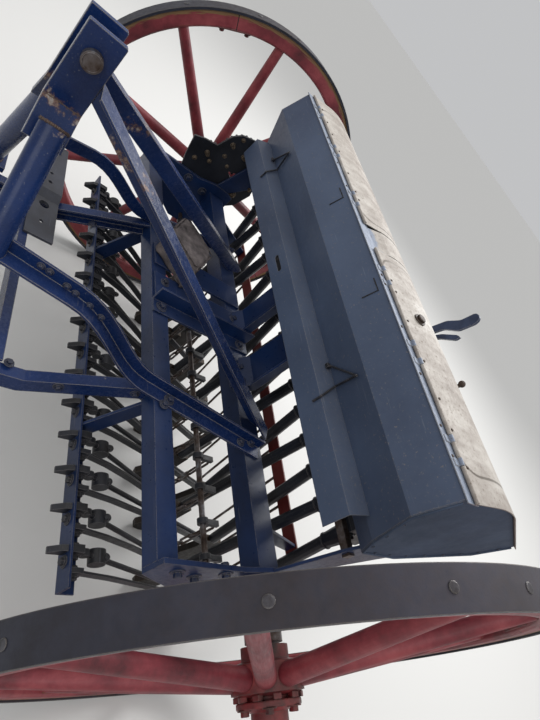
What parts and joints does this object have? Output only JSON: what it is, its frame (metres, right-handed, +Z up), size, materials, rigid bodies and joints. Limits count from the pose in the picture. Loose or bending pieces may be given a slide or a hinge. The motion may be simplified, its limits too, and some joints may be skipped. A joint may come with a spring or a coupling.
{
  "type": "mounted seed drill",
  "caption": "Tractor-mounted seed drill with a lidded grain box over trailing drag coulters, three-point headstock and large wooden spoked wheels.",
  "frame": {"origin": "middle of the bounding box at ground level", "axes": "+X to the machine's left, +Y to its rear, away from the tractor, +Z up"},
  "size_m": [2.091, 1.412, 1.2516],
  "materials": {
    "navy_paint": "worn satin paint",
    "slate_paint": "worn satin paint",
    "zinc_sheet": "weathered sheet",
    "iron_tyre": "worn dark paint on iron",
    "red_wood": "painted wood",
    "red_iron": "painted casting",
    "red_bar": "worn satin paint",
    "black_iron": "dark paint",
    "bare_steel": "bare weathered steel",
    "block_stone": null
  },
  "bodies": {
    "frame": {"main_beam": "navy_paint", "rear_beam": "navy_paint", "centre_angle": "navy_paint", "side_plates": "navy_paint", "stub_axles": "bare_steel", "clevis_plates": "navy_paint", "top_link_pin": "bare_steel", "mast_legs": "navy_paint", "mast_braces": "navy_paint", "curved_channels": "navy_paint", "front_cross_bar": "navy_paint", "front_side_bars": "navy_paint", "drawbar_plate": "bare_steel", "lower_hitch_pins": "bare_steel", "coulter_bar": "navy_paint", "bar_hangers": "navy_paint", "lever_brackets": "black_iron", "coulter_levers": "black_iron", "coulter_boots": "black_iron", "lift_shaft": "bare_steel", "lift_arms": "black_iron", "lift_chains": "bare_steel", "hopper_shell": "slate_paint", "hopper_ends": "slate_paint", "hopper_brackets": "navy_paint", "lid_strap": "zinc_sheet", "feed_units": "black_iron", "feed_shaft": "bare_steel", "feed_cover": "slate_paint", "cover_latches": "black_iron", "seed_tubes": "black_iron", "rear_bar": "red_bar", "rear_bar_arms": "navy_paint", "drag_tines": "bare_steel", "ballast_block": "block_stone", "ballast_tray": "navy_paint", "gear_plate": "black_iron", "drive_gears": "black_iron", "control_levers": "navy_paint"},
    "left_wheel": {"tyre_left": "iron_tyre", "rim_left": "red_wood", "hub_left": "red_iron"},
    "right_wheel": {"tyre_right": "iron_tyre", "rim_right": "red_wood", "hub_right": "red_iron"},
    "left_lid": {"lid_left": "zinc_sheet"},
    "right_lid": {"lid_right": "zinc_sheet"}
  },
  "joints": [
    {"name": "left_wheel_spin", "type": "hinge", "parent": "frame", "child": "left_wheel", "pos_m": [0.886, 0.08, 0.62579], "axis": [0.9981, 0, -0.061], "continuous": true},
    {"name": "right_wheel_spin", "type": "hinge", "parent": "frame", "child": "right_wheel", "pos_m": [-0.886, 0.08, 0.62579], "axis": [0.9981, 0, 0.061], "continuous": true},
    {"name": "left_lid_hinge", "type": "hinge", "parent": "frame", "child": "left_lid", "pos_m": [0.4, 0.108, 1.1835], "axis": [1, 0, 0], "range_deg": [0, 100]},
    {"name": "right_lid_hinge", "type": "hinge", "parent": "frame", "child": "right_lid", "pos_m": [-0.4, 0.108, 1.1835], "axis": [1, 0, 0], "range_deg": [0, 100]}
  ]
}
